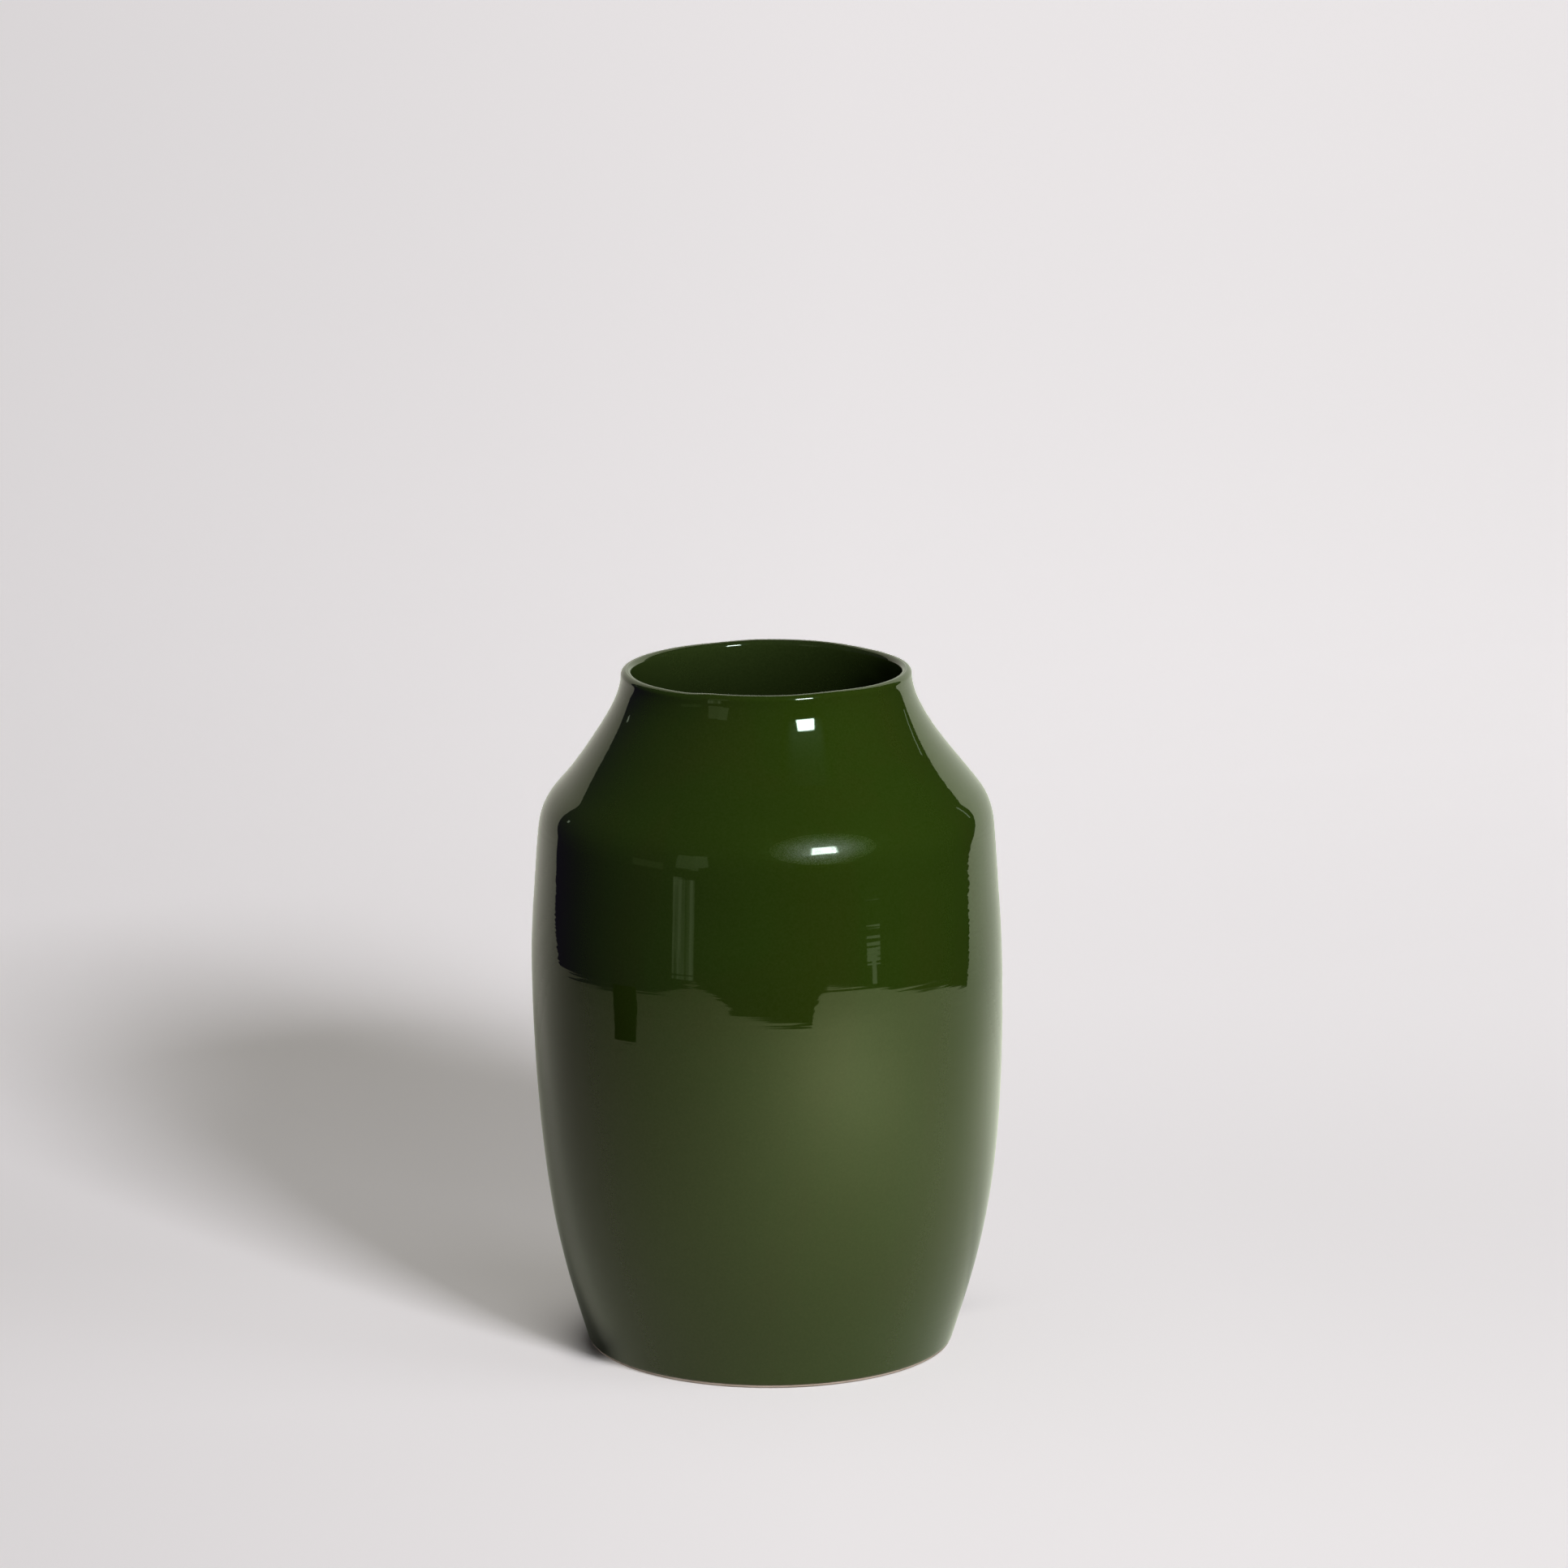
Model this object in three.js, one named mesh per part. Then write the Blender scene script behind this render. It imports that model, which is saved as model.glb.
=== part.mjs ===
// A thrown stoneware vase with a glossy green glaze, in millimetres, +Z up.
// The origin is the middle of the plane that it stands on, and Z is the axis that it was thrown about.
// The fired clay is one piece. The glaze is a thin coat of glass fused to it in three areas: the outside,
// the lining, and the shallow well under the floor. Each coat is a body of its own.
import * as THREE from "three";

// Stations on the outside of the glaze, from its lower edge to the lip. The slope is how far the radius
// changes for each millimetre of height.
const GLAZE_EDGE = { radius: 93.3, height: 1.5, slope: 0.3 };
const BELLY = { radius: 119.6, height: 190, slope: 0 };
const SHOULDER = { radius: 116.6, height: 252, slope: -0.07 };
const NECK = { radius: 107, height: 289.5, slope: -0.83 };
const COLLAR = { radius: 75.2, height: 339, slope: -0.25 };
const LIP = { radius: 70.5, crest: 350, thickness: 5.6 };

const WALL_AT_FOOT = 8; // the wall, glaze included, thins evenly from here to the lip
const GLAZE = 0.55; // thickness of each coat
const BOND = 0.05; // clearance between a coat and the clay, so that two bodies never share a face
const SEAM = BOND / LIP.thickness; // half the angle of that same clearance where two coats meet at the crest
const FLOOR = { height: 12, corner: 18 }; // top of the lining's floor, and the least rise of its corner
const FOOT = { radius: 92.4, chamfer: 0.8, ring_width: 9 }; // bare clay, and the flat ring that it stands on
const RING_OUTSIDE = FOOT.radius - FOOT.chamfer;
const RING_INSIDE = RING_OUTSIDE - FOOT.ring_width;
const WELL = { depth: 3, taper: 2, bare_margin: 1.5 }; // the recess inside that ring

const SEGMENTS = 48; // facets round the axis

const clay = new THREE.MeshStandardMaterial({ color: 0xb3a08c, roughness: 0.85, metalness: 0 });
const glaze = new THREE.MeshStandardMaterial({ color: 0x2c4716, roughness: 0.08, metalness: 0 });

// Samples along a curve. Each holds a point and the unit normal on the curve's right-hand side, which is
// the air side of a line that climbs the outside of the wall.
function sample(curve, steps) {
  return Array.from({ length: steps + 1 }, (_, i) => {
    const tangent = curve.getTangent(i / steps);
    return { at: curve.getPoint(i / steps), normal: new THREE.Vector2(tangent.y, -tangent.x) };
  });
}

// A smooth climb from one station to the next. The handles are lengths along the stations' slopes.
function climb(from, fromHandle, to, toHandle, steps) {
  const start = new THREE.Vector2(from.radius, from.height);
  const end = new THREE.Vector2(to.radius, to.height);
  const leaving = new THREE.Vector2(from.slope, 1).setLength(fromHandle);
  const arriving = new THREE.Vector2(to.slope, 1).setLength(toHandle);
  const curve = new THREE.CubicBezierCurve(start, leaving.add(start), end.clone().sub(arriving), end);
  return sample(curve, steps);
}

// A quarter of the lip's round section, between two angles from the outward direction.
function lipArc(fromAngle, toAngle, steps) {
  const round = LIP.thickness / 2;
  const curve = new THREE.EllipseCurve(LIP.radius, LIP.crest - round, round, round, fromAngle, toAngle);
  return sample(curve, steps);
}

// One line from several that meet end to end. Each later one gives up its first sample.
function joined(first, ...others) {
  return [...first, ...others.flatMap((line) => line.slice(1))];
}

// The point at a depth under a sample of the surface.
function under(spot, depth) {
  return spot.at.clone().addScaledVector(spot.normal, -depth);
}

// The outside of the glaze, from its lower edge up to the lip's side.
function outerWall() {
  const round = LIP.thickness / 2;
  const lipSide = { radius: LIP.radius + round, height: LIP.crest - round, slope: 0 };
  return joined(
    climb(GLAZE_EDGE, 40, BELLY, 115, 5),
    climb(BELLY, 25, SHOULDER, 20, 3),
    climb(SHOULDER, 16, NECK, 15, 4),
    climb(NECK, 25, COLLAR, 12, 4),
    climb(COLLAR, 3, lipSide, 3, 1),
  );
}

// The inside of the glaze, from the lip's side down to the top of the floor's rounded corner.
function innerWall(outer) {
  const cornerTop = FLOOR.height + FLOOR.corner;
  const thinning = (WALL_AT_FOOT - LIP.thickness) / (LIP.crest - LIP.thickness / 2);
  return outer
    .filter((spot) => spot.at.y > cornerTop)
    .map((spot) => ({
      at: under(spot, WALL_AT_FOOT - thinning * spot.at.y),
      normal: spot.normal.clone().negate(),
    }))
    .reverse();
}

// The floor's corner, from the foot of the inner wall round to the flat, and then the floor to its middle.
function floorLine(wallFoot) {
  const downwards = new THREE.Vector2(-wallFoot.normal.y, wallFoot.normal.x);
  const drop = wallFoot.at.y - FLOOR.height;
  const corner = wallFoot.at.clone().addScaledVector(downwards, drop / -downwards.y);
  const flatStart = new THREE.Vector2(corner.x - drop, FLOOR.height);
  const bend = new THREE.QuadraticBezierCurve(wallFoot.at, corner, flatStart);
  const middle = { at: new THREE.Vector2(0, FLOOR.height), normal: new THREE.Vector2(0, 1) };
  return [...sample(bend, 5), middle];
}

// A coat of glaze over a line of samples: back along the side that faces the clay, then out along its
// surface.
function coatProfile(line) {
  const clayside = line.map((spot) => under(spot, GLAZE)).reverse();
  return [...clayside, ...line.map((spot) => spot.at)];
}

// The clay's underside, from its middle out across the well and the foot ring to the top of the chamfer.
function footProfile() {
  return [
    new THREE.Vector2(0, WELL.depth),
    new THREE.Vector2(RING_INSIDE - WELL.taper, WELL.depth),
    new THREE.Vector2(RING_INSIDE, 0),
    new THREE.Vector2(RING_OUTSIDE, 0),
    new THREE.Vector2(FOOT.radius, FOOT.chamfer),
  ];
}

// The disc of glaze on the roof of the well.
function wellProfile() {
  const radius = RING_INSIDE - WELL.taper - WELL.bare_margin;
  const roof = WELL.depth - BOND;
  return [
    new THREE.Vector2(0, roof - GLAZE),
    new THREE.Vector2(radius, roof - GLAZE),
    new THREE.Vector2(radius, roof),
    new THREE.Vector2(0, roof),
  ];
}

// A body turned from a profile that has the air on its right, stood up along Z.
function turned(name, profile, material) {
  const mesh = new THREE.Mesh(new THREE.LatheGeometry(profile, SEGMENTS), material);
  mesh.name = name;
  mesh.rotation.x = Math.PI / 2;
  return mesh;
}

const outer = outerWall();
const outsideLine = joined(outer, lipArc(0, Math.PI / 2 - SEAM, 3));
const inner = joined(lipArc(Math.PI / 2 + SEAM, Math.PI, 3), innerWall(outer));
const insideLine = joined(inner, floorLine(inner.at(-1)));
const clayLine = joined(outsideLine, insideLine).map((spot) => under(spot, GLAZE + BOND));
const outsideCoat = coatProfile(outsideLine);

const vase = new THREE.Group();
vase.add(
  turned("stoneware_body", [...footProfile(), ...clayLine], clay),
  turned("outer_glaze", [...outsideCoat, outsideCoat[0]], glaze),
  turned("lining_glaze", coatProfile(insideLine), glaze),
  turned("foot_well_glaze", wellProfile(), glaze),
);

export default vase;
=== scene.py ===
"""The looks of a thrown stoneware vase with a glossy green glaze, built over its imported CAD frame.

Every length is in metres, in the frame's own axes: +Z up, the vase standing on z = 0 about the Z axis, and
the camera looking along +Y. Angles round the vase start at +X and turn towards +Y.
"""

import math

import bpy
import numpy as np
from mathutils import Matrix, Vector


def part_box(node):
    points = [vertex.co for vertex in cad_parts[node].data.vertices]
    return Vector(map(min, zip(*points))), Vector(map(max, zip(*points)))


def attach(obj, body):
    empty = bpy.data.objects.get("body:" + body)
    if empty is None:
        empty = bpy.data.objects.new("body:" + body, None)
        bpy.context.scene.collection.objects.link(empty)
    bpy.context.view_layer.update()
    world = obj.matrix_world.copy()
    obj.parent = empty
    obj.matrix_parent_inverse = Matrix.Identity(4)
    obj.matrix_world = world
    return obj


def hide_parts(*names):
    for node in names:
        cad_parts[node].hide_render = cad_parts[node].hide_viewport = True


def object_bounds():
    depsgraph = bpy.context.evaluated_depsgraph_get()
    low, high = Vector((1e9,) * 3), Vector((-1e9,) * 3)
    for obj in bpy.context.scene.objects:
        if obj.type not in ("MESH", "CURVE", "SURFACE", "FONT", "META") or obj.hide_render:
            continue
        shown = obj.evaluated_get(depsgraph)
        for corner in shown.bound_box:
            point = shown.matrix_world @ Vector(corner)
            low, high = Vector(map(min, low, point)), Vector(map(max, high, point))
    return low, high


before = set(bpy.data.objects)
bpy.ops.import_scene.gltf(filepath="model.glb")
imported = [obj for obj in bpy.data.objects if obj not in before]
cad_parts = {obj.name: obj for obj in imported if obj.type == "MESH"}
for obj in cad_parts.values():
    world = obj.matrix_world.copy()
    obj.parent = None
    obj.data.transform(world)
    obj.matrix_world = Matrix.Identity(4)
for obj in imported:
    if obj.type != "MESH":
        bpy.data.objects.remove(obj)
CAD_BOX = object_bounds()

MM = 0.001

# The outline's stations: radius, height, and how far the radius changes with height. They are the part's,
# but for the collar, which the potter drew in by half a millimetre more.
BELLY_RADIUS = CAD_BOX[1].x
CREST = CAD_BOX[1].z
GLAZE_EDGE = (93.3 * MM, 1.5 * MM, 0.3)
BELLY = (BELLY_RADIUS, 190 * MM, 0.0)
SHOULDER = (116.6 * MM, 252 * MM, -0.07)
NECK = (107 * MM, 289.5 * MM, -0.83)
COLLAR = (74.7 * MM, 339 * MM, -0.28)
LIP_RADIUS, LIP_ROUND = 70.5 * MM, 2.8 * MM
LIP_SIDE = (LIP_RADIUS + LIP_ROUND, CREST - LIP_ROUND, 0.0)

WALL_AT_FOOT = 8 * MM
GLAZE = 0.55 * MM
BOND = 0.05 * MM
FLOOR_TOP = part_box("lining_glaze")[0].z + GLAZE
FLOOR_CORNER = 18 * MM
FOOT_RADIUS, FOOT_CHAMFER, RING_WIDTH = 92.4 * MM, 0.8 * MM, 9 * MM
WELL_DEPTH, WELL_TAPER, WELL_MARGIN = 3 * MM, 2 * MM, 1.5 * MM

AROUND = 240  # columns of faces round each visible skin
AROUND_HIDDEN = 180


# ---------------------------------------------------------------- lines of the section

def bezier(start, start_reach, end, end_reach, count):
    """Points and right-hand normals on a smooth climb between two stations."""
    a, d = np.array(start[:2]), np.array(end[:2])
    leave, arrive = np.array([start[2], 1.0]), np.array([end[2], 1.0])
    b = a + leave / np.linalg.norm(leave) * start_reach
    c = d - arrive / np.linalg.norm(arrive) * end_reach
    t = np.linspace(0, 1, count + 1)[:, None]
    at = (1 - t) ** 3 * a + 3 * (1 - t) ** 2 * t * b + 3 * (1 - t) * t * t * c + t ** 3 * d
    along = 3 * ((1 - t) ** 2 * (b - a) + 2 * (1 - t) * t * (c - b) + t * t * (d - c))
    along /= np.linalg.norm(along, axis=1)[:, None]
    return at, np.column_stack([along[:, 1], -along[:, 0]])


def arc(centre, radius, start, end, count):
    """Points and outward normals on a circular arc of the section, between two angles in radians."""
    angle = np.linspace(start, end, count + 1)
    normal = np.column_stack([np.cos(angle), np.sin(angle)])
    return np.array(centre) + normal * radius, normal


def joined(*lines):
    """One line from several that meet end to end."""
    points = [lines[0][0]] + [line[0][1:] for line in lines[1:]]
    normals = [lines[0][1]] + [line[1][1:] for line in lines[1:]]
    return np.vstack(points), np.vstack(normals)


def outer_wall(density):
    """The glazed outside, from the glaze's lower edge up to the lip's side."""
    return joined(
        bezier(GLAZE_EDGE, 40 * MM, BELLY, 115 * MM, round(96 * density)),
        bezier(BELLY, 25 * MM, SHOULDER, 20 * MM, round(66 * density)),
        bezier(SHOULDER, 16 * MM, NECK, 15 * MM, round(42 * density)),
        bezier(NECK, 25 * MM, COLLAR, 12 * MM, round(44 * density)),
        bezier(COLLAR, 3 * MM, LIP_SIDE, 3 * MM, round(8 * density)),
    )


def lip_arc(start, end, density):
    return arc((LIP_RADIUS, CREST - LIP_ROUND), LIP_ROUND, start, end, round(12 * density))


def inside_line(density):
    """The lining, from the lip's crest down the wall, round the floor's corner and in to the middle."""
    points, normals = outer_wall(density)
    kept = points[:, 1] > FLOOR_TOP + FLOOR_CORNER
    points, normals = points[kept], normals[kept]
    share = points[:, 1:] / (CREST - LIP_ROUND)
    wall = points - normals * (WALL_AT_FOOT + (2 * LIP_ROUND - WALL_AT_FOOT) * share)
    wall, wall_normals = wall[::-1], -normals[::-1]
    foot, down = wall[-1], np.array([-wall_normals[-1, 1], wall_normals[-1, 0]])
    drop = foot[1] - FLOOR_TOP
    corner = foot - down * drop / down[1]
    flat = np.array([corner[0] - drop, FLOOR_TOP])
    t = np.linspace(0, 1, round(24 * density) + 1)[:, None]
    bend = (1 - t) ** 2 * foot + 2 * (1 - t) * t * corner + t * t * flat
    along = (1 - t) * (corner - foot) + t * (flat - corner)
    along /= np.linalg.norm(along, axis=1)[:, None]
    bend_normals = np.column_stack([along[:, 1], -along[:, 0]])
    inward = np.linspace(flat[0], 0, round(26 * density) + 1)
    level = np.column_stack([inward, np.full_like(inward, FLOOR_TOP)])
    up = np.tile([0.0, 1.0], (len(level), 1))
    return joined(lip_arc(math.pi / 2, math.pi, density), (wall, wall_normals), (bend, bend_normals), (level, up))


# ---------------------------------------------------------------- the potter's hand

# How far the rim stands above or below its mean height, at angles round it.
RIM = (
    (0, 0.2), (42, -0.2), (70, 0.4), (90, 0.3), (115, -0.5), (150, -0.6), (180, -0.5),
    (210, -0.95), (234, -0.95), (248, 0.0), (275, 0.1), (298, 0.7), (325, 0.3),
)
RIM_FALLS_FROM, RIM_FALLS_TO = 300 * MM, 346 * MM

LEAN = -1.85 * MM  # how far the top stands to -X of the foot
LEAN_FROM, LEAN_TO = 80 * MM, 225 * MM
NECK_LEAN, NECK_LEAN_AT, NECK_LEAN_SPREAD = 1.35 * MM, 296 * MM, 17 * MM  # the neck leans back to +X

# Faint ridges left where two lifts of the wall met: height, size and how far each one spreads, in mm.
RIDGES = ((210.7, 0.075, 9), (196.5, 0.012, 3), (203.5, 0.010, 3), (190.5, 0.010, 3))
RIDGE_TIP = 0.6 * MM
# Where the wall stands off the drawn outline all the way round: height, size and spread, in mm.
BULGES = ((250, 0.05, 8), (268, -0.17, 8))
# Shallow swells that the fingers leave: waves round the pot, rise of each in mm and size in mm.
FINGER_SWELLS = (
    (2, 700, 0.18), (3, 500, 0.10), (4, 260, 0.035), (5, 160, 0.018), (7, 90, 0.008), (3, 34, 0.007),
    (2, 27, 0.005), (5, 22, 0.003),
)
# Ring marks: size, pitch up the wall, and how much and how often that pitch wanders.
WIDE_RING = (0.010 * MM, 27 * MM, 1.3, 41 * MM)
CLOSE_RING = (0.0012 * MM, 8.5 * MM, 2, 23 * MM)
SEED = 11


def smooth(low, high, x):
    t = np.clip((x - low) / (high - low), 0, 1)
    return t * t * (3 - 2 * t)


def bump(x, centre, width):
    return np.exp(-(((x - centre) / width) ** 2))


def rim_height(angle):
    """The rim's height error at an angle, as a smooth closed curve through its stations."""
    turn = np.degrees(angle) % 360
    stations = np.array(RIM + ((360, RIM[0][1]),))
    here = np.clip(np.searchsorted(stations[:, 0], turn, side="right") - 1, 0, len(RIM) - 1)
    step = (turn - stations[here, 0]) / (stations[here + 1, 0] - stations[here, 0])
    step = step * step * (3 - 2 * step)
    return (stations[here, 1] * (1 - step) + stations[here + 1, 1] * step) * MM


def hand_swells():
    """The fingers' swells, each both ways round the pot: waves, rise, size and phase.

    A swell climbs as a helix, to the left where its rise is negative.
    """
    chance = np.random.default_rng(SEED)
    swells = []
    for waves, rise, size in FINGER_SWELLS:
        for way in (1, -1):
            swells.append((waves, way * rise * MM, size * MM, chance.uniform(0, 2 * math.pi)))
    return swells


SWELLS = hand_swells()


def throwing_rings(angle, height):
    """Ring marks that climb the wall as the pot turns, the wide ones one way and the close ones the other."""
    climb = angle / (2 * math.pi)
    out = 0
    for way, (size, pitch, wander, every) in ((1, WIDE_RING), (-1, CLOSE_RING)):
        out = out + size * np.cos(2 * math.pi * (height / pitch + way * climb) + wander * np.sin(height / every))
    return out


def hand(radius, angle, height):
    """Where a point of the true round form ends up on the thrown pot."""
    # The marks die out towards the foot, and mostly at the lip; the floor inside has none on its axis.
    wall = smooth(6 * MM, 40 * MM, height) * (1 - 0.75 * smooth(325 * MM, 345 * MM, height))
    off_axis = smooth(60 * MM, 80 * MM, radius)
    out = throwing_rings(angle, height)
    for waves, rise, size, phase in SWELLS:
        out = out + size * np.cos(waves * angle + 2 * math.pi * height / rise + phase)
    out = out * wall * smooth(0, 60 * MM, radius)
    for level, size, spread in RIDGES:
        off = np.sqrt((height - level * MM) ** 2 + RIDGE_TIP ** 2)
        out = out + size * MM * np.exp(-off / (spread * MM)) * off_axis
    for level, size, spread in BULGES:
        out = out + size * MM * bump(height, level * MM, spread * MM)
    lean = LEAN * smooth(LEAN_FROM, LEAN_TO, height) + NECK_LEAN * bump(height, NECK_LEAN_AT, NECK_LEAN_SPREAD)
    rise = rim_height(angle) * smooth(RIM_FALLS_FROM, RIM_FALLS_TO, height)
    radius = radius + out
    return np.stack([radius * np.cos(angle) + lean, radius * np.sin(angle), height + rise], axis=-1)


# ---------------------------------------------------------------- meshes

def turned(name, profile, columns, material, body="root"):
    """A closed skin from a profile turned about Z and then put through the potter's hand.

    The profile is a loop of radius and height with the air on its right. Points on the axis become one
    vertex each.
    """
    angles = np.linspace(0, 2 * math.pi, columns, endpoint=False)
    vertices, rings = [], []
    for radius, height in profile:
        spin = angles[:1] if radius < 1e-7 else angles
        rings.append(len(vertices) + np.arange(len(spin)))
        vertices.extend(hand(np.full(len(spin), radius), spin, np.full(len(spin), height)))
    on_axis = [len(ring) == 1 for ring in rings]
    closes = not (on_axis[0] and on_axis[-1])
    faces = []
    for i in range(len(rings) if closes else len(rings) - 1):
        low, high = rings[i], rings[(i + 1) % len(rings)]
        for k in range(columns):
            n = (k + 1) % columns
            if len(low) == 1 and len(high) == 1:
                break
            if len(low) == 1:
                faces.append((low[0], high[n], high[k]))
            elif len(high) == 1:
                faces.append((low[k], low[n], high[0]))
            else:
                faces.append((low[k], low[n], high[n], high[k]))
    mesh = bpy.data.meshes.new(name)
    mesh.from_pydata([tuple(v) for v in vertices], [], [tuple(int(v) for v in face) for face in faces])
    mesh.polygons.foreach_set("use_smooth", [True] * len(mesh.polygons))
    mesh.materials.append(material)
    piece = bpy.data.objects.new(name, mesh)
    bpy.context.scene.collection.objects.link(piece)
    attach(piece, body)
    return piece


def below(line, depth):
    """The points at a depth under a line's surface."""
    points, normals = line
    return points - normals * depth


def outside_line(density):
    return joined(outer_wall(density), lip_arc(0, math.pi / 2, density))


def make_outer_glaze(material):
    """The coat outside, whose lower edge is rolled into a round bead where it stopped flowing."""
    surface = outside_line(1.0)
    start = surface[0][0] - surface[1][0] * GLAZE
    roll_angles = np.linspace(-math.pi / 2, 0, 7)[1:-1]
    tilt = math.atan2(surface[1][0][1], surface[1][0][0])
    roll = start + GLAZE * np.column_stack([
        np.cos(roll_angles) * math.cos(tilt) - np.sin(roll_angles) * math.sin(tilt),
        np.cos(roll_angles) * math.sin(tilt) + np.sin(roll_angles) * math.cos(tilt),
    ])
    roll[:, 1] += GLAZE
    back = below(outside_line(0.25), GLAZE)[::-1]
    top = surface[0][surface[0][:, 1] > roll[-1, 1] + 0.2 * MM]
    piece = turned("outer_glaze_skin", np.vstack([back, roll, top]), AROUND, material)
    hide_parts("outer_glaze")
    return piece


def make_lining_glaze(material):
    piece = turned(
        "lining_glaze_skin",
        np.vstack([below(inside_line(0.25), GLAZE)[::-1], inside_line(0.7)[0]]),
        AROUND,
        material,
    )
    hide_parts("lining_glaze")
    return piece


def make_clay(material):
    """The fired clay: the whole wall and floor under the coats, the foot ring and the well."""
    ring_outside = FOOT_RADIUS - FOOT_CHAMFER
    ring_inside = ring_outside - RING_WIDTH
    well_edge = ring_inside - WELL_TAPER
    soft = 0.35 * MM  # the foot ring's edges are sponged round
    foot = np.array([
        (0, WELL_DEPTH),
        (well_edge * 0.5, WELL_DEPTH),
        (well_edge - 1.2 * MM, WELL_DEPTH),
        (well_edge - 0.3 * MM, WELL_DEPTH - 0.25 * MM),
        (well_edge + 0.2 * MM, WELL_DEPTH - 0.7 * MM),
        (ring_inside - soft, soft * 1.2),
        (ring_inside + soft * 0.3, soft * 0.3),
        (ring_inside + soft * 1.5, 0),
        (ring_inside + RING_WIDTH / 2, 0),
        (ring_outside - soft, 0),
        (ring_outside + soft * 0.4, soft * 0.35),
        (FOOT_RADIUS + soft * 0.8, FOOT_CHAMFER - soft * 0.3),
        (FOOT_RADIUS + soft * 1.2, FOOT_CHAMFER + soft * 0.9),
    ])
    wall = below(joined(outside_line(0.5), inside_line(0.5)), GLAZE + BOND)
    piece = turned("stoneware_clay", np.vstack([foot, wall]), AROUND_HIDDEN, material)
    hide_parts("stoneware_body")
    return piece


def make_well_glaze(material):
    """The disc of glaze on the well's roof, with a rounded rim."""
    radius = FOOT_RADIUS - FOOT_CHAMFER - RING_WIDTH - WELL_TAPER - WELL_MARGIN
    roof = WELL_DEPTH - BOND
    rim = arc((radius - GLAZE, roof), GLAZE, -math.pi / 2, 0, 6)[0]
    face = np.column_stack([np.linspace(0, radius - GLAZE, 40)[:-1], np.full(39, roof - GLAZE)])
    top = np.array([(radius * 0.5, roof), (0, roof)])
    piece = turned("foot_well_glaze_skin", np.vstack([face, rim, top]), AROUND_HIDDEN, material)
    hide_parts("foot_well_glaze")
    return piece


# ---------------------------------------------------------------- materials

class Nodes:
    """A small helper that adds shader nodes to one material or world."""

    def __init__(self, owner):
        owner.use_nodes = True
        self.tree = owner.node_tree
        self.tree.nodes.clear()

    def add(self, kind, **settings):
        node = self.tree.nodes.new(kind)
        for key, value in settings.items():
            if hasattr(node, key):
                setattr(node, key, value)
            else:
                self.put(node, key.replace("_", " ").title(), value)
        return node

    def put(self, node, socket, value):
        if isinstance(value, bpy.types.NodeSocket):
            self.tree.links.new(value, node.inputs[socket])
        else:
            node.inputs[socket].default_value = value

    def noise(self, coordinates, scale, detail=3.0, roughness=0.5, distortion=0.0):
        node = self.add("ShaderNodeTexNoise")
        self.put(node, "Vector", coordinates)
        for socket, value in (
            ("Scale", scale), ("Detail", detail), ("Roughness", roughness), ("Distortion", distortion),
        ):
            self.put(node, socket, value)
        return node.outputs["Fac"]

    def spread(self, value, low, high, new_low=0.0, new_high=1.0, smooth=False):
        node = self.add("ShaderNodeMapRange")
        if smooth:
            node.interpolation_type = "SMOOTHSTEP"
        for socket, number in (
            ("Value", value), ("From Min", low), ("From Max", high), ("To Min", new_low), ("To Max", new_high),
        ):
            self.put(node, socket, number)
        return node.outputs["Result"]

    def math(self, operation, *values):
        node = self.add("ShaderNodeMath", operation=operation)
        for index, value in enumerate(values):
            self.put(node, index, value)
        return node.outputs[0]

    def vector(self, operation, *values, scale=None):
        node = self.add("ShaderNodeVectorMath", operation=operation)
        for index, value in enumerate(values):
            self.put(node, index, value)
        if scale is not None:
            self.put(node, "Scale", scale)
        return node.outputs["Value" if operation == "DOT_PRODUCT" else "Vector"]

    def split(self, value):
        node = self.add("ShaderNodeSeparateXYZ")
        self.put(node, 0, value)
        return node.outputs

    def mix(self, share, first, second):
        node = self.add("ShaderNodeMix", data_type="RGBA")
        self.put(node, 0, share)
        self.put(node, 6, first)
        self.put(node, 7, second)
        return node.outputs[2]

    def bump(self, height, distance, strength):
        node = self.add("ShaderNodeBump")
        self.put(node, "Height", height)
        self.put(node, "Distance", distance)
        self.put(node, "Strength", strength)
        return node.outputs["Normal"]


GREEN = (0.0225, 0.0465, 0.0030, 1)
GREEN_DEEP = (0.0205, 0.0410, 0.0024, 1)
GREEN_BROWN = (0.0250, 0.0400, 0.0030, 1)
GREEN_WORN = (0.075, 0.105, 0.03, 1)
EDGE_BREAK = (0.110, 0.085, 0.045, 1)  # where the glaze thins out above the bare foot
# The lining is the outside's glaze painted darker and bluer: painted shade inside the pot and a painted
# reflection of the bluish room.
LINING_SHADED = (0.0200, 0.0335, 0.0072, 1)
LINING_DEEP_SHADED = (0.0180, 0.0300, 0.0062, 1)
GLAZE_IOR = 1.6
GLAZE_TINT = (0.96, 1.0, 0.63, 1)
DULL_SPOT = (0.026, -0.108, 0.281)  # where fine crystals blur the shoulder's gloss
DULL_SPOT_SIZE = (0.036, 0.060, 0.0095)
CRYSTAL_ROUGHNESS, CRYSTAL_SCALE = 0.40, 4000.0
GLAZE_THINS_FROM, GLAZE_THINS_TO = 2.5 * MM, 1.7 * MM  # the heights between which the edge breaks
RIPPLE_STRETCH, RIPPLE_DEPTH = (14.0, 14.0, 320.0), 0.04 * MM

CLAY_DARK, CLAY_LIGHT = (0.38, 0.30, 0.24, 1), (0.47, 0.385, 0.32, 1)
GROG, GROG_SCALE = (0.16, 0.115, 0.085, 1), 700.0


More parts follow.
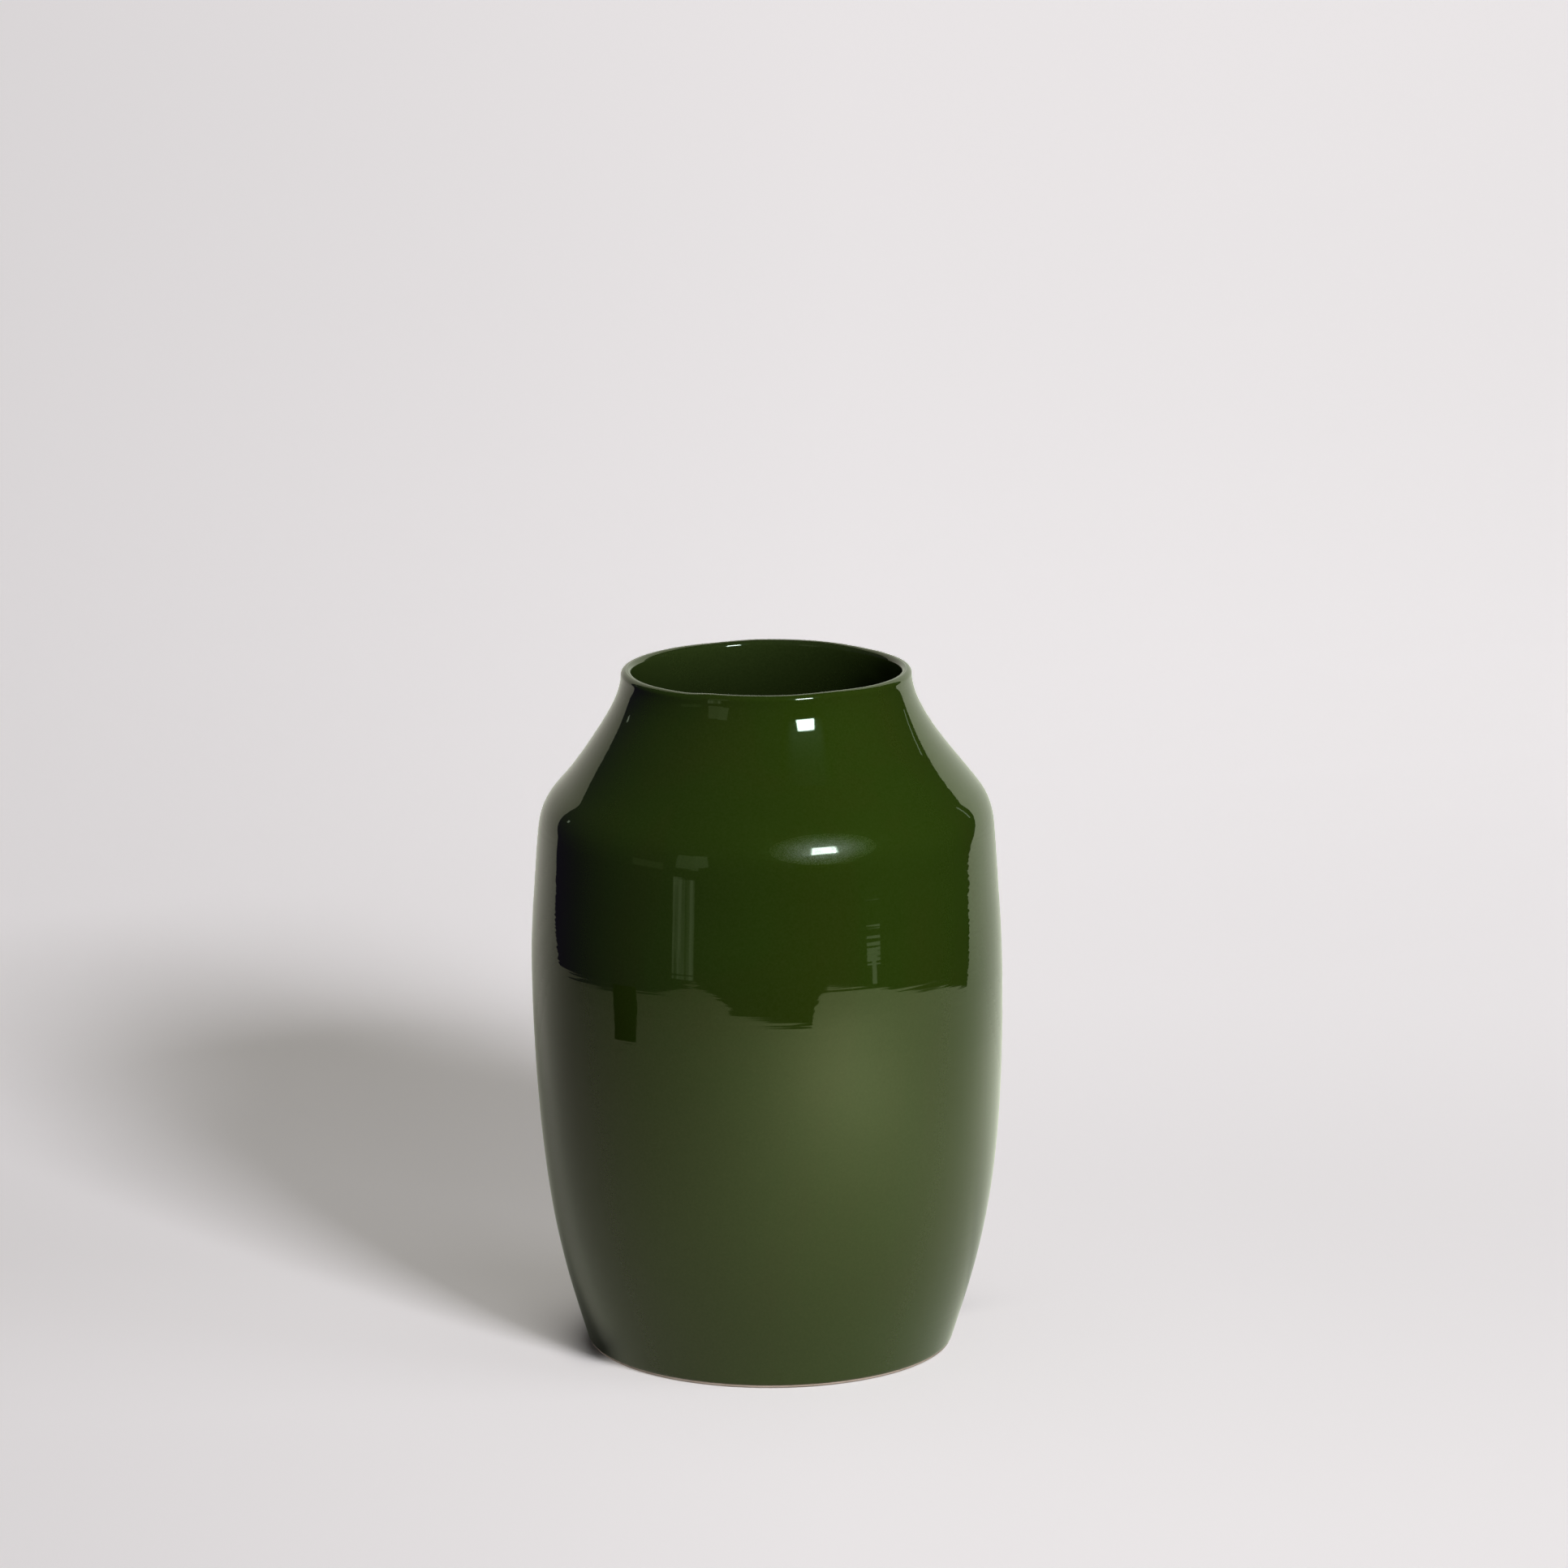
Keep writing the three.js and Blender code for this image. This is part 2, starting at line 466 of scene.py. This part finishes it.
def glaze_material(name, light, deep, crystals):
    """Glossy deep green glaze: mottling, fine specks, soft ripples, and specks of matte crystals if asked."""
    material = bpy.data.materials.new(name)
    n = Nodes(material)
    place = n.add("ShaderNodeTexCoord").outputs["Object"]
    cloud = n.noise(place, 9.0, 4.0, 0.55, 0.3)
    grain = n.noise(place, 900.0, 2.0)
    green = n.mix(n.spread(cloud, 0.35, 0.68), deep, light)
    if crystals:
        rust = n.noise(n.vector("MULTIPLY", place, (16.0, 16.0, 7.0)), 1.0, 5.0, 0.65, 0.8)
        green = n.mix(n.spread(rust, 0.45, 0.70, 0.0, 0.8), green, GREEN_BROWN)
    green = n.mix(n.spread(grain, 0.3, 0.75, 0.0, 0.10), green, GREEN_WORN)
    height = n.split(place)[2]
    green = n.mix(n.spread(height, GLAZE_THINS_TO, GLAZE_THINS_FROM, 0.8, 0.0), green, EDGE_BREAK)
    gloss = n.spread(n.noise(place, 60.0, 3.0), 0.3, 0.7, 0.02, 0.05)
    if crystals:
        off = n.vector("DIVIDE", n.vector("SUBTRACT", place, DULL_SPOT), DULL_SPOT_SIZE)
        spot = n.spread(n.vector("DOT_PRODUCT", off, off), 0.10, 1.30, 1.0, 0.0, smooth=True)
        speck = n.spread(n.noise(place, CRYSTAL_SCALE, 1.0), 0.50, 0.54)
        matte = n.math("MULTIPLY", spot, speck)
        gloss = n.math("MAXIMUM", gloss, n.math("MULTIPLY", matte, CRYSTAL_ROUGHNESS))
    skin = n.add("ShaderNodeBsdfPrincipled")
    n.put(skin, "Base Color", green)
    n.put(skin, "Roughness", gloss)
    n.put(skin, "IOR", GLAZE_IOR)
    n.put(skin, "Specular Tint", GLAZE_TINT)
    ripples = n.noise(n.vector("MULTIPLY", place, RIPPLE_STRETCH), 1.0, 1.5)
    n.put(skin, "Normal", n.bump(ripples, RIPPLE_DEPTH, 1.0))
    out = n.add("ShaderNodeOutputMaterial")
    n.put(out, "Surface", skin.outputs[0])
    return material


def clay_material():
    """Bare fired stoneware: pinkish buff with fine dark grog and a dry open face."""
    material = bpy.data.materials.new("bare_stoneware")
    n = Nodes(material)
    place = n.add("ShaderNodeTexCoord").outputs["Object"]
    body = n.mix(n.spread(n.noise(place, 70.0, 4.0), 0.3, 0.7), CLAY_DARK, CLAY_LIGHT)
    grog = n.add("ShaderNodeTexVoronoi", feature="F1")
    n.put(grog, "Vector", place)
    n.put(grog, "Scale", GROG_SCALE)
    speck = n.spread(grog.outputs["Distance"], 0.10, 0.2, 1.0, 0.0)
    body = n.mix(n.spread(speck, 0.0, 1.0, 0.0, 0.55), body, GROG)
    skin = n.add("ShaderNodeBsdfPrincipled")
    n.put(skin, "Base Color", body)
    n.put(skin, "Roughness", n.spread(n.noise(place, 300.0), 0.3, 0.7, 0.75, 0.95))
    n.put(skin, "Normal", n.bump(n.noise(place, 1600.0, 4.0, 0.7), 0.3 * MM, 0.5))
    out = n.add("ShaderNodeOutputMaterial")
    n.put(out, "Surface", skin.outputs[0])
    return material


# ---------------------------------------------------------------- the studio

KEY_AZIMUTH, KEY_ELEVATION, KEY_DISTANCE = 26, 40.5, 1.3
AIM = (0.0, 0.0, 0.15)
# The floor's own glow is painted light, which stays in the lamps' shadows.
LAMP_SHARE = 0.665     # how much of the floor's tone the lamps give, the rest being its own glow
MIRRORED_SHARE = 0.62  # the same for the mirrored paper
FAR = 0.3              # the slant at which the lamps' light on the floor starts to fade
MIDDLE_SLANT, SHARE_GROWS = 0.55, 0.7  # the slant where the share is as stated, and how it grows beyond
FLOOR_GAIN = 0.84
COOL = (0.994, 1.0, 1.05)  # the lamps' colour on the floor, which leaves its shadow a little warm
# Painted contact shadow: the floor's glow is darkened by the foot on the side away from the lamp, and in the
# mirrored paper too.
PAINTED_CONTACT_SHADE, CONTACT_REACH = 0.95, 18 * MM  # the dark at the foot on the side away from the lamp
MIRRORED_PAINTED_CONTACT_SHADE, MIRRORED_CONTACT_REACH = 0.90, 120 * MM

FLOOR_SIDE = 14.0
# The floor's tones are painted light and shade: dimmer to the left, dimmest beside the pot, brighter at the
# picture's lower edge.
FLOOR_DIM = (0.705, 0.677, 0.685, 1)
FLOOR_MIDDLE = (0.834, 0.803, 0.811, 1)
FLOOR_BRIGHT = (0.845, 0.814, 0.822, 1)
FAN_FROM = 3.4
DIM_AT, MIDDLE_AT, BRIGHT_AT = -0.125, 0.01, 0.06
DIP, DIP_AT, DIP_REACH = 0.935, 0.2, 0.55  # the floor is dimmest beside the pot
NEAR_GAIN = 1.04  # the floor's tone at the picture's lower edge
# Painted light and shade, where the floor is a little lighter or darker: centre, stretch, reach and gain.
PAINTED_FLOOR_PATCHES = (((-0.38, 0.04, 0.0), (1, 2, 0), 0.40, 0.065), ((0.45, 0.80, 0.0), (1, 0.75, 0), 0.45, -0.042))

# The mirrored paper's front edge, and where its left and right edges run further back.
PAPER_FRONT = (
    (-0.95, -0.50), (-0.86, -0.76), (-0.82, -1.20), (-0.51, -1.13), (-0.30, -0.99), (-0.10, -0.98),
    (0.09, -0.94), (0.32, -0.88), (0.39, -1.00), (0.60, -1.25), (0.74, -1.36), (0.94, -1.11), (1.04, -0.80),
)
PAPER_SIDES = (
    (-0.40, -0.98, 1.09), (0.00, -1.00, 1.07), (0.30, -0.95, 0.91), (0.45, -0.95, 1.12), (0.60, -1.02, 1.33),
    (0.75, -1.06, 1.36), (1.00, -1.40, 1.41), (1.25, -1.42, 1.42),
)
PAPER_CURVE_FROM, PAPER_CURVE_RADIUS, PAPER_TOP = 0.50, 0.75, 2.4
PAPER_LIFT = 0.2 * MM
# The mirrored paper's tones are painted light: a pool below the lamp, brighter to the right and up the back, a
# lighter spot behind on the right, and warmer to the left.
POOL_AT, POOL_REACH, POOL_GAIN = (0.40, -0.54, 0.0), 0.50, 1.08  # the bright pool below the lamp
PAPER_TONE, PAPER_ACROSS, PAPER_BEHIND = 0.385, 0.19, 0.33  # in the middle, per metre to +X, and up the back
BEYOND_AT, BEYOND_REACH, BEYOND_GAIN = (0.33, 0.36, 0.0), 0.31, 0.466  # a lighter spot behind on the right
PAPER_LEFT_HUE, PAPER_HUE = (1.0, 0.98, 0.86, 1), (0.96, 1.02, 0.84, 1)

HAZE = (0.85, 1.0, 0.9)
# How brightly the strap and the dark sheet glow in the glaze's reflections: a painted reflection and a painted
# shadow.
STRAP_GLOW, DARK_SHEET_GLOW = 0.75, 0.01
# Glowing cards that only the glaze mirrors, painted reflections of pale things in the room and painted glints:
# name, centre, width, height, glow and turn.
PAINTED_REFLECTIONS = (
    ("upper_patch", (-1.03, -1.60, 0.72), 0.23, 0.55, 0.30, 0.15),
    ("side_patch", (-1.73, -1.00, 0.38), 0.60, 0.19, 0.12, 0.0),
    ("neck_patch", (-1.26, -1.55, 0.66), 0.42, 0.62, 0.25, 0.0),
    ("right_glint", (1.66, 1.25, 0.86), 0.03, 0.50, 1.0, 0.0),
    ("left_glint", (-1.83, 1.25, 0.82), 0.06, 0.09, 1.0, 0.0),
)
GLARE_AZIMUTH, GLARE_ELEVATION, GLARE_TURN = 28.8, 38, -0.1
GLARE_GLOW, GLARE_COLOUR, DISH_COLOUR = 36.0, (0.85, 0.95, 1.4, 1), (0.7, 1.0, 1.2, 1)
# Lamps that light everything: name, azimuth, elevation, distance, width, height and watts.
LAMPS = (
    ("key_lamp", KEY_AZIMUTH, KEY_ELEVATION, KEY_DISTANCE, 0.27, 0.22, 7.5),
    ("key_surround", 19, 30, 1.3, 0.5, 0.3, 0.9),
    ("right_bounce", 75, 17, 1.8, 0.9, 0.6, 2.9),
    ("overhead", 0, 89.5, 1.8, 1.2, 1.2, 0.85),
)
FOOT_BOUNCE = ("foot_bounce", 0, 5, 1.5, 1.8, 0.10, 6.0)  # lights the bare clay alone
BEHIND = ("behind", 200, 35, 1.6, 1.2, 0.9, 1.5)          # lights the vase alone


def around(azimuth, elevation, distance):
    """A place at an azimuth to the right of the camera's side, an elevation and a distance from the foot."""
    a, e = math.radians(azimuth), math.radians(elevation)
    return Vector((math.sin(a) * math.cos(e), -math.cos(a) * math.cos(e), math.sin(e))) * distance


def lamps_on_floor(n, place):
    """The slant at which the key lamp meets the floor, times how squarely the lamp faces that spot."""
    lamp = around(KEY_AZIMUTH, KEY_ELEVATION, KEY_DISTANCE)
    back = (lamp - Vector(AIM)).normalized()
    to_lamp = n.vector("SUBTRACT", tuple(lamp), place)
    square = n.vector("DOT_PRODUCT", to_lamp, to_lamp)
    facing = n.vector("DOT_PRODUCT", to_lamp, tuple(back))
    up = n.vector("DOT_PRODUCT", to_lamp, n.add("ShaderNodeNewGeometry").outputs["Normal"])
    return n.math("DIVIDE", n.math("MULTIPLY", facing, up), square)


def contact_shade(n, place, depth, reach):
    """A painted contact shadow: what is left of the floor's glow by the foot, on the side away from the lamp, 1
    far from it.
    """
    turn = math.radians(KEY_AZIMUTH)
    across = n.vector("DOT_PRODUCT", place, (math.cos(turn), math.sin(turn), 0))
    away = n.vector("DOT_PRODUCT", place, (-math.sin(turn), math.cos(turn), 0))
    off = n.vector("MULTIPLY", n.vector("SUBTRACT", place, (0, -8 * MM, 0)), (1, 1, 0))
    gap = n.math("SUBTRACT", n.math("SQRT", n.vector("DOT_PRODUCT", off, off)), FOOT_RADIUS)
    dark = n.math("EXPONENT", n.math("MULTIPLY", n.math("MAXIMUM", gap, 0.0), -1 / reach))
    dark = n.math("MULTIPLY", dark, n.spread(across, -0.12, -0.095, 0.0, depth, smooth=True))
    dark = n.math("MULTIPLY", dark, n.spread(away, -0.02, 0.01, smooth=True))
    return n.math("SUBTRACT", 1.0, dark)


def lit_surface(n, tone, slant, lamp_share, shade):
    """A matte surface that the lamps and its own painted glow bring to an even tone, whatever the slant.

    The lamps' share grows a little with distance, as their slant on the surface gets shallower.
    """
    near = n.math("MAXIMUM", slant, FAR)
    growth = n.math("POWER", n.math("DIVIDE", MIDDLE_SLANT, near), SHARE_GROWS)
    share = n.math("MULTIPLY", growth, lamp_share)
    matte = n.add("ShaderNodeBsdfDiffuse")
    gain = n.math("MULTIPLY", n.math("DIVIDE", share, near), FLOOR_GAIN)
    n.put(matte, "Color", n.vector("SCALE", n.vector("MULTIPLY", tone, COOL), scale=gain))
    # The glow is painted light: it stays in the lamps' shadows, a little warm.
    glow = n.add("ShaderNodeEmission")
    reach = n.math("MINIMUM", n.math("DIVIDE", slant, FAR), 1.0)
    lamps = n.vector("SCALE", COOL, scale=n.math("MULTIPLY", reach, share))
    n.put(glow, "Color", n.vector("MULTIPLY", tone, n.vector("SUBTRACT", (1, 1, 1), lamps)))
    n.put(glow, "Strength", shade)
    both = n.add("ShaderNodeAddShader")
    n.put(both, 0, matte.outputs[0])
    n.put(both, 1, glow.outputs[0])
    out = n.add("ShaderNodeOutputMaterial")
    n.put(out, "Surface", both.outputs[0])


def floor_material():
    """Pale paper with painted light and shade: dimmer to the left, a little dimmer beside the pot, and a painted
    contact shadow at the foot.
    """
    material = bpy.data.materials.new("pale_floor")
    n = Nodes(material)
    place = n.add("ShaderNodeTexCoord").outputs["Object"]
    x, y, _ = n.split(place)
    # The tones fan out from below the camera, as they run straight up the picture.
    fan = n.math("DIVIDE", x, n.math("ADD", n.math("MAXIMUM", y, -1.0), FAN_FROM))
    tone = n.mix(n.spread(fan, DIM_AT, MIDDLE_AT), FLOOR_DIM, FLOOR_MIDDLE)
    tone = n.mix(n.spread(fan, MIDDLE_AT, BRIGHT_AT), tone, FLOOR_BRIGHT)
    off = n.math("ABSOLUTE", n.math("SUBTRACT", y, DIP_AT))
    dip = n.spread(off, 0.0, DIP_REACH, DIP, 1.0, smooth=True)
    near = n.spread(y, -0.5, 0.6, NEAR_GAIN, 1.0)
    tone = n.vector("SCALE", tone, scale=n.math("MULTIPLY", dip, near))
    for centre, stretch, reach, gain in PAINTED_FLOOR_PATCHES:
        away = n.vector("MULTIPLY", n.vector("SUBTRACT", place, centre), stretch)
        patch = n.math("EXPONENT", n.math("MULTIPLY", n.vector("DOT_PRODUCT", away, away), -1 / reach ** 2))
        tone = n.vector("SCALE", tone, scale=n.math("MULTIPLY_ADD", patch, gain, 1.0))
    shade = contact_shade(n, place, PAINTED_CONTACT_SHADE, CONTACT_REACH)
    lit_surface(n, tone, lamps_on_floor(n, place), LAMP_SHARE, shade)
    return material


def mirrored_material():
    """The paper as the glaze mirrors it, its tones painted light: bright by the lamp, brighter to the right and
    up the back.
    """
    material = bpy.data.materials.new("mirrored_paper")
    n = Nodes(material)
    place = n.add("ShaderNodeTexCoord").outputs["Object"]
    x, y, _ = n.split(place)
    away = n.vector("SUBTRACT", place, POOL_AT)
    square = n.vector("DOT_PRODUCT", n.vector("MULTIPLY", away, (1, 1, 0)), away)
    pool = n.math("POWER", n.math("MULTIPLY_ADD", square, 1 / POOL_REACH ** 2, 1.0), -1.5)
    across = n.math("MAXIMUM", n.math("MULTIPLY_ADD", x, PAPER_ACROSS, PAPER_TONE), 0.0)
    behind = n.spread(y, 0.0, 1.1, 0.0, PAPER_BEHIND, smooth=True)
    tone = n.math("ADD", n.math("MULTIPLY_ADD", pool, POOL_GAIN, across), behind)
    beyond = n.vector("MULTIPLY", n.vector("SUBTRACT", place, BEYOND_AT), (1, 1, 0))
    reach = n.math("MULTIPLY", n.vector("DOT_PRODUCT", beyond, beyond), -1 / BEYOND_REACH ** 2)
    tone = n.math("MULTIPLY_ADD", n.math("EXPONENT", reach), BEYOND_GAIN, tone)
    hue = n.mix(n.spread(x, -0.5, 0.1), PAPER_LEFT_HUE, PAPER_HUE)
    colour = n.vector("SCALE", hue, scale=tone)
    shade = contact_shade(n, place, MIRRORED_PAINTED_CONTACT_SHADE, MIRRORED_CONTACT_REACH)
    lit_surface(n, colour, lamps_on_floor(n, place), MIRRORED_SHARE, shade)
    return material


def glow_material(name, colour, strength):
    material = bpy.data.materials.new(name)
    n = Nodes(material)
    glow = n.add("ShaderNodeEmission")
    n.put(glow, "Color", (*colour, 1))
    n.put(glow, "Strength", strength)
    out = n.add("ShaderNodeOutputMaterial")
    n.put(out, "Surface", glow.outputs[0])
    return material


def sheet(name, rows, material):
    """A stage surface from rows of points, not part of the object."""
    wide = len(rows[0])
    vertices = [point for row in rows for point in row]
    faces = [
        (r * wide + c, r * wide + c + 1, (r + 1) * wide + c + 1, (r + 1) * wide + c)
        for r in range(len(rows) - 1)
        for c in range(wide - 1)
    ]
    mesh = bpy.data.meshes.new(name)
    mesh.from_pydata(vertices, [], faces)
    mesh.materials.append(material)
    made = bpy.data.objects.new(name, mesh)
    bpy.context.scene.collection.objects.link(made)
    return made


def only_mirrored(made):
    """Keep a stage surface out of everything but the glaze's reflections."""
    made.visible_camera = False
    made.visible_diffuse = False
    made.visible_shadow = False
    made.visible_transmission = False


def make_floor():
    """A wide pale floor, which the glaze doesn't mirror: it mirrors the narrower paper that lies on it."""
    side = FLOOR_SIDE
    rows = [[(x, y, 0.0) for x in (-side, side)] for y in (-side, side)]
    floor = sheet("pale_floor", rows, floor_material())
    floor.visible_glossy = False
    floor.visible_diffuse = False


def make_paper():
    """The sweep of paper as the glaze mirrors it: flat in front, curving up behind into a wall."""
    line = [(y, 0.0) for y, _, _ in PAPER_SIDES if y < PAPER_CURVE_FROM]
    for turn in np.linspace(0, math.pi / 2, 17):
        line.append((
            PAPER_CURVE_FROM + PAPER_CURVE_RADIUS * math.sin(turn),
            PAPER_CURVE_RADIUS * (1 - math.cos(turn)),
        ))
    line.append((line[-1][0], PAPER_TOP))
    back, left, right = zip(*PAPER_SIDES)
    rows = [[(x, y, PAPER_LIFT) for x, y in PAPER_FRONT]]
    for y, z in line:
        across = np.linspace(np.interp(y, back, left), np.interp(y, back, right), len(PAPER_FRONT))
        rows.append([(x, y, z + PAPER_LIFT) for x in across])
    only_mirrored(sheet("mirrored_paper", rows, mirrored_material()))


def card(name, centre, width, height, material, turn=0.0):
    """A glowing card that only the glaze mirrors, for a painted reflection, square to the pot; its own X and Y
    run across and up.
    """
    centre = Vector(centre)
    back = (centre - Vector(AIM)).normalized()
    across = Vector((0, 0, 1)).cross(back).normalized()
    up = back.cross(across)
    rows = [[(u * width / 2, v * height / 2, 0.0) for u in (-1, 1)] for v in (-1, 1)]
    made = sheet(name, rows, material)
    made.matrix_world = Matrix.Translation(centre) @ Matrix((across, up, back)).transposed().to_4x4()
    made.matrix_world = made.matrix_world @ Matrix.Rotation(turn, 4, "Z")
    only_mirrored(made)


def make_dark_sheet():
    """A nearly black sheet lying flat on the paper's left, seen only in the glaze: a painted shadow in the
    mirrored paper.
    """
    lift = 1 * MM
    rows = [
        [(-1.02, -0.50, lift), (-1.02, -0.24, lift)],
        [(-0.80, -0.42, lift), (-0.80, -0.21, lift)],
        [(-0.64, -0.33, lift), (-0.68, -0.19, lift)],
    ]
    only_mirrored(sheet("dark_sheet", rows, glow_material("dark_sheet_glow", (1, 1, 1), DARK_SHEET_GLOW)))


def make_fallen_strap():
    """A pale thing lying past the paper's right front edge, as the glaze mirrors it: a glowing sheet, a painted
    reflection.
    """
    way = Vector((0.785, -0.620, 0))
    side = Vector((0.620, 0.785, 0))
    rows = [
        [way * reach + side * half * end + Vector((0, 0, 1 * MM)) for end in (-1, 1)]
        for reach, half in ((1.47, 0.03), (1.84, 0.035), (1.86, 0.11), (2.1, 0.13))
    ]
    only_mirrored(sheet("fallen_strap", rows, glow_material("strap_glow", HAZE, STRAP_GLOW)))


def streaked_material():
    """Uneven upright streaks of pale light, of something standing past the paper's left front corner."""
    material = bpy.data.materials.new("strip_glow")
    n = Nodes(material)
    place = n.add("ShaderNodeTexCoord").outputs["Object"]
    streak = n.noise(n.vector("MULTIPLY", place, (16.0, 1.2, 1.0)), 1.0, 2.0, 0.6, 0.6)
    glow = n.add("ShaderNodeEmission")
    n.put(glow, "Color", (*HAZE, 1))
    n.put(glow, "Strength", n.spread(streak, 0.38, 0.62, 0.12, 0.50))
    out = n.add("ShaderNodeOutputMaterial")
    n.put(out, "Surface", glow.outputs[0])
    return material


def glare_material():
    """The lamp as the glaze mirrors it: a hard white panel in the middle of a dish that dims outwards."""
    material = bpy.data.materials.new("lamp_glare")
    n = Nodes(material)
    place = n.add("ShaderNodeTexCoord").outputs["Object"]
    x, y, _ = n.split(place)
    half = n.math("MULTIPLY_ADD", y, -0.10, 0.12)
    panel = n.math(
        "MULTIPLY",
        n.spread(n.math("SUBTRACT", n.math("ABSOLUTE", x), half), -0.02, 0.015, 1.0, 0.0, smooth=True),
        n.spread(n.math("ABSOLUTE", n.math("SUBTRACT", y, 0.025)), 0.095, 0.135, 1.0, 0.0, smooth=True),
    )
    dish = n.math(
        "MULTIPLY",
        n.spread(n.math("ABSOLUTE", x), 0.14, 0.26, 1.0, 0.0, smooth=True),
        n.spread(y, 0.12, 0.55, 0.22, 0.04, smooth=True),
    )
    dish = n.math("MULTIPLY", dish, n.spread(y, -0.2, 0.1, 0.0, 1.0, smooth=True))
    glow = n.add("ShaderNodeEmission")
    n.put(glow, "Color", n.mix(panel, DISH_COLOUR, GLARE_COLOUR))
    n.put(glow, "Strength", n.math("MULTIPLY_ADD", panel, GLARE_GLOW, dish))
    out = n.add("ShaderNodeOutputMaterial")
    n.put(out, "Surface", glow.outputs[0])
    return material


def lamp(name, azimuth, elevation, distance, width, height, watts, only=None):
    """A soft panel that the glaze doesn't mirror, lighting everything or only one collection.

    Its light doesn't weaken with distance, so that it lights floor and pot evenly.
    """
    data = bpy.data.lights.new(name, "AREA")
    data.shape = "RECTANGLE"
    data.size, data.size_y = width, height
    data.energy = watts
    data.use_nodes = True
    tree = data.node_tree
    falloff = tree.nodes.new("ShaderNodeLightFalloff")
    falloff.inputs["Strength"].default_value = 1.0
    tree.links.new(falloff.outputs["Constant"], tree.nodes["Emission"].inputs["Strength"])
    made = bpy.data.objects.new(name, data)
    made.location = around(azimuth, elevation, distance)
    made.rotation_mode = "QUATERNION"
    made.rotation_quaternion = (Vector(AIM) - made.location).to_track_quat("-Z", "Y")
    made.visible_glossy = False
    bpy.context.scene.collection.objects.link(made)
    if only:
        made.light_linking.receiver_collection = only


def collection(name, pieces):
    made = bpy.data.collections.new(name)
    bpy.context.scene.collection.children.link(made)
    for piece in pieces:
        made.objects.link(piece)
    return made


ROOM_FILL = 0.006
ROOM_LEFT, ROOM_RIGHT = (0.032, 0.022, 0.055, 1), (0.006, 0.004, 0.010, 1)


def make_world():
    """Nearly no light from the room itself, and a dim one wherever the glaze mirrors it."""
    world = bpy.data.worlds.new("studio")
    bpy.context.scene.world = world
    n = Nodes(world)
    path = n.add("ShaderNodeLightPath")
    fill = n.add("ShaderNodeBackground")
    n.put(fill, "Color", (1, 0.98, 0.985, 1))
    n.put(fill, "Strength", ROOM_FILL)
    side = n.split(n.add("ShaderNodeTexCoord").outputs["Generated"])[0]
    room = n.add("ShaderNodeBackground")
    n.put(room, "Color", n.mix(n.spread(side, -0.9, 0.3), ROOM_LEFT, ROOM_RIGHT))
    pale = n.add("ShaderNodeBackground")
    n.put(pale, "Color", FLOOR_MIDDLE)
    seen = n.add("ShaderNodeMixShader")
    n.put(seen, 0, path.outputs["Is Camera Ray"])
    n.put(seen, 1, fill.outputs[0])
    n.put(seen, 2, pale.outputs[0])
    both = n.add("ShaderNodeMixShader")
    n.put(both, 0, path.outputs["Is Glossy Ray"])
    n.put(both, 1, seen.outputs[0])
    n.put(both, 2, room.outputs[0])
    out = n.add("ShaderNodeOutputWorld")
    n.put(out, "Surface", both.outputs[0])


CAMERA_BACK, CAMERA_UP = 3.3965, 1.0444
CAMERA_DOWN, CAMERA_ASIDE = math.radians(12.526), math.radians(0.119)
CAMERA_LENS, SENSOR = 158.14, 36.0


def make_camera():
    data = bpy.data.cameras.new("camera")
    data.lens, data.sensor_width = CAMERA_LENS, SENSOR
    camera = bpy.data.objects.new("camera", data)
    camera.location = (0, -CAMERA_BACK, CAMERA_UP)
    camera.rotation_euler = (math.pi / 2 - CAMERA_DOWN, 0, -CAMERA_ASIDE)
    bpy.context.scene.collection.objects.link(camera)
    bpy.context.scene.camera = camera


make_camera()
bpy.context.scene.view_settings.view_transform = "Standard"
lining_glaze = glaze_material("lining_glaze", LINING_SHADED, LINING_DEEP_SHADED, crystals=False)
vase = [
    make_outer_glaze(glaze_material("outer_glaze", GREEN, GREEN_DEEP, crystals=True)),
    make_lining_glaze(lining_glaze),
    make_well_glaze(lining_glaze),
    make_clay(clay_material()),
]
make_floor()
make_paper()
make_world()
card("lamp_glare", around(GLARE_AZIMUTH, GLARE_ELEVATION, KEY_DISTANCE), 0.6, 1.2, glare_material(), GLARE_TURN)
card("tall_strip", (-0.98, -1.17, 0.10), 0.29, 0.21, streaked_material())
for name, centre, width, height, strength, turn in PAINTED_REFLECTIONS:
    card(name, centre, width, height, glow_material(name + "_glow", HAZE, strength), turn)
make_dark_sheet()
make_fallen_strap()
for settings in LAMPS:
    lamp(*settings)
vase_only, clay_only = collection("vase_only", vase), collection("clay_only", vase[-1:])
lamp(*FOOT_BOUNCE, only=clay_only)
lamp(*BEHIND, only=vase_only)
